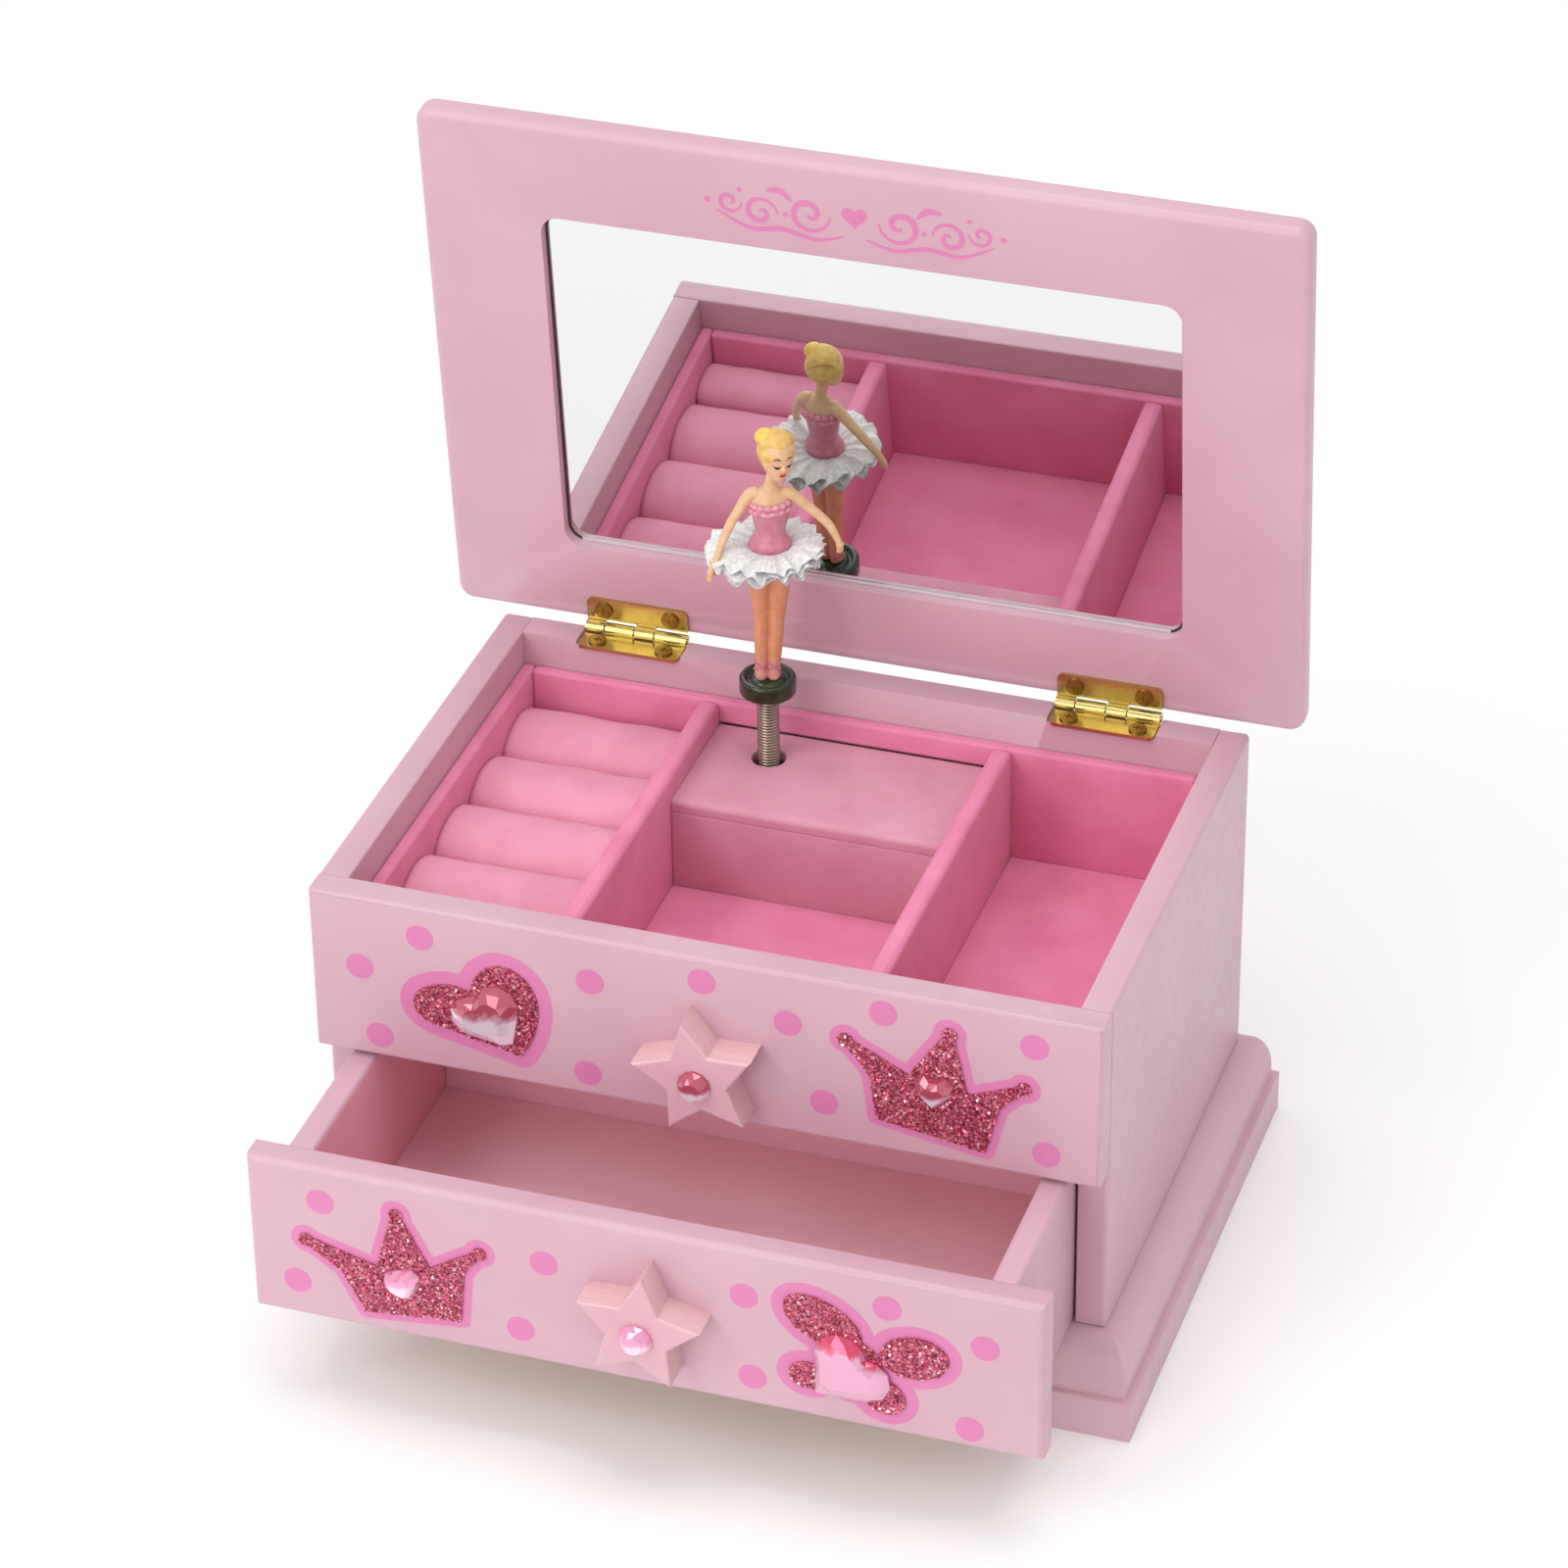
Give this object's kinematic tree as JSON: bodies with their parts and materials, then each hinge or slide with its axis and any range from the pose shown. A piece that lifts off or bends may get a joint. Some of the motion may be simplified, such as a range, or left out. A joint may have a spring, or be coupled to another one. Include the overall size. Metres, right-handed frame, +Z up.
{
  "type": "ballerina jewellery box",
  "caption": "Wooden musical jewellery box with a mirror lid, lined tray with ring rolls, a drawer, star knobs and a dancer that turns on a spring.",
  "frame": {"origin": "on the underside of the plinth, below the middle of the case in width and in depth", "axes": "+Z up, +X to the right as seen from the front, +Y to the back"},
  "size_m": [0.1602, 0.1554, 0.1904],
  "materials": {
    "pink_paint": "satin paint",
    "bare_board": "plain sanded board",
    "rose_flock": "flocked",
    "rose_foam": "flocked foam",
    "mirror_glass": "polished",
    "brass_plate": "bright",
    "steel_bright": "bright",
    "movement_casting": "as cast",
    "glitter_film": "glitter",
    "pink_gem": "cut and polished",
    "pale_gem": "cut and polished",
    "green_plastic": "gloss",
    "painted_doll": "hand-painted",
    "white_net": "net"
  },
  "bodies": {
    "case": {"case_left_side": "pink_paint", "case_right_side": "pink_paint", "case_back": "pink_paint", "upper_front_panel": "pink_paint", "plinth_base": "pink_paint", "star_knob_upper": "pink_paint", "tray_floor": "bare_board", "lining_left": "rose_flock", "lining_right": "rose_flock", "lining_front": "rose_flock", "lining_back": "rose_flock", "divider_left": "rose_flock", "divider_right": "rose_flock", "deck_top": "rose_flock", "deck_riser": "rose_flock", "compartment_floor_pads": "rose_flock", "ring_rolls": "rose_foam", "hinge_case_leaves": "brass_plate", "hinge_pins": "brass_plate", "hinge_case_screws": "brass_plate", "movement_screws": "steel_bright", "comb": "steel_bright", "movement_bedplate": "movement_casting", "movement_bracket": "movement_casting", "glitter_heart": "glitter_film", "glitter_crown_upper": "glitter_film", "gem_star_upper": "pink_gem", "gem_heart": "pink_gem", "gem_crown_upper": "pink_gem"},
    "lid": {"lid_board": "pink_paint", "mirror_glass": "mirror_glass", "hinge_lid_leaves": "brass_plate", "hinge_lid_screws": "brass_plate"},
    "drawer": {"drawer_front": "pink_paint", "drawer_left_side": "pink_paint", "drawer_right_side": "pink_paint", "drawer_back": "pink_paint", "drawer_bottom": "bare_board", "drawer_floor_pad": "rose_flock", "star_knob_drawer": "pink_paint", "gem_star_drawer": "pale_gem", "gem_crown_drawer": "pale_gem", "gem_butterfly": "pink_gem", "glitter_crown_drawer": "glitter_film", "glitter_butterfly": "glitter_film"},
    "fold": {"ballerina_spring": "steel_bright"},
    "ballerina": {"ballerina_disc": "green_plastic", "ballerina_figure": "painted_doll", "ballerina_tutu": "white_net"},
    "spindle": {"spindle": "steel_bright"},
    "barrel": {"mainspring_barrel": "brass_plate", "mainspring": "steel_bright"},
    "key": {"winding_arbor": "steel_bright", "winding_key": "steel_bright"},
    "cylinder": {"cylinder_arbor": "steel_bright", "music_cylinder": "brass_plate"},
    "governor_wheel": {"governor_wheel": "brass_plate"},
    "governor_fan": {"governor_fan": "steel_bright"}
  },
  "joints": [
    {"name": "lid_hinge", "type": "hinge", "parent": "case", "child": "lid", "pos_m": [0, 0.0476, 0.0847], "axis": [1, 0, 0], "range_deg": [0, 84.5]},
    {"name": "ballerina_fold", "type": "hinge", "parent": "case", "child": "fold", "pos_m": [-0.01415, 0.0317, 0.0813], "axis": [0.9903, 0.1392, 0], "range_deg": [0, 104.1], "deforming": ["ballerina_spring"]},
    {"name": "drawer_slide", "type": "slide", "parent": "case", "child": "drawer", "axis": [0, -1, 0], "range_m": [-0.033, 0.022]},
    {"name": "barrel_spin", "type": "hinge", "parent": "case", "child": "barrel", "pos_m": [-0.01415, 0.038, 0.052], "axis": [0, 1, 0], "continuous": true},
    {"name": "key_wind", "type": "hinge", "parent": "case", "child": "key", "pos_m": [-0.01415, 0.045, 0.052], "axis": [0, 1, 0], "continuous": true},
    {"name": "spindle_spin", "type": "hinge", "parent": "case", "child": "spindle", "pos_m": [-0.01415, 0.0317, 0.0616], "axis": [0, 0, 1], "continuous": true},
    {"name": "ballerina_spin", "type": "hinge", "parent": "fold", "child": "ballerina", "pos_m": [-0.01415, 0.0317, 0.0873], "axis": [0, 0, 1], "continuous": true},
    {"name": "cylinder_spin", "type": "hinge", "parent": "case", "child": "cylinder", "pos_m": [0.008, 0.0317, 0.052], "axis": [1, 0, 0], "continuous": true},
    {"name": "governor_wheel_spin", "type": "hinge", "parent": "case", "child": "governor_wheel", "pos_m": [0.02, 0.02842, 0.06102], "axis": [1, 0, 0], "continuous": true},
    {"name": "governor_fan_spin", "type": "hinge", "parent": "case", "child": "governor_fan", "pos_m": [0.015, 0.03464, 0.06538], "axis": [1, 0, 0], "continuous": true}
  ],
  "couplings": [
    {"joint": "ballerina_fold", "follows": "lid_hinge", "ratio": 1.2308},
    {"joint": "spindle_spin", "follows": "barrel_spin", "ratio": -2.6667},
    {"joint": "ballerina_spin", "follows": "barrel_spin", "ratio": -2.6667},
    {"joint": "cylinder_spin", "follows": "barrel_spin", "ratio": -2.6667},
    {"joint": "governor_wheel_spin", "follows": "barrel_spin", "ratio": 13.333},
    {"joint": "governor_fan_spin", "follows": "barrel_spin", "ratio": -50}
  ]
}
